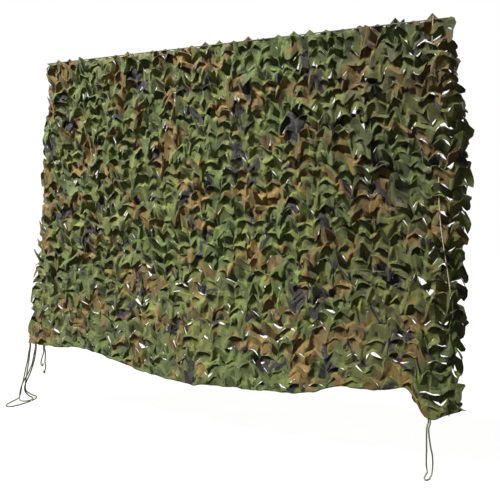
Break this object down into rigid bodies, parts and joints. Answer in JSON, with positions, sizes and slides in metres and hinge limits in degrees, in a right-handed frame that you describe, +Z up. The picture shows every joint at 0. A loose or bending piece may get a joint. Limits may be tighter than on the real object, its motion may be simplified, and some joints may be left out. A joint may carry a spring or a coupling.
{
  "type": "camouflage net",
  "caption": "Hanging camouflage net of slit printed cloth on a backing mesh, with a roped border and corner ties, for screening and shade.",
  "frame": {"origin": "middle of the top edge, on the middle line of the top rope that the net hangs by", "axes": "+X along the top edge to the right as seen from the front, +Z up, -Y out of the front of the net"},
  "size_m": [3.0165, 0.4656, 2.2481],
  "materials": {
    "printed_cloth": "matte woven cloth printed with soft woodland blotches",
    "pale_mesh_cord": "thin pale olive cord",
    "dark_rope": "dull dark olive twisted rope"
  },
  "bodies": {
    "root": {"camo_cloth": "printed_cloth", "backing_mesh": "pale_mesh_cord", "rope_left": "pale_mesh_cord", "rope_right": "pale_mesh_cord", "rope_top": "dark_rope", "rope_hem": "dark_rope", "tie_left_a": "dark_rope", "tie_left_b": "dark_rope", "tie_left_short_a": "dark_rope", "tie_left_short_b": "dark_rope", "tie_right": "dark_rope"}
  },
  "joints": []
}
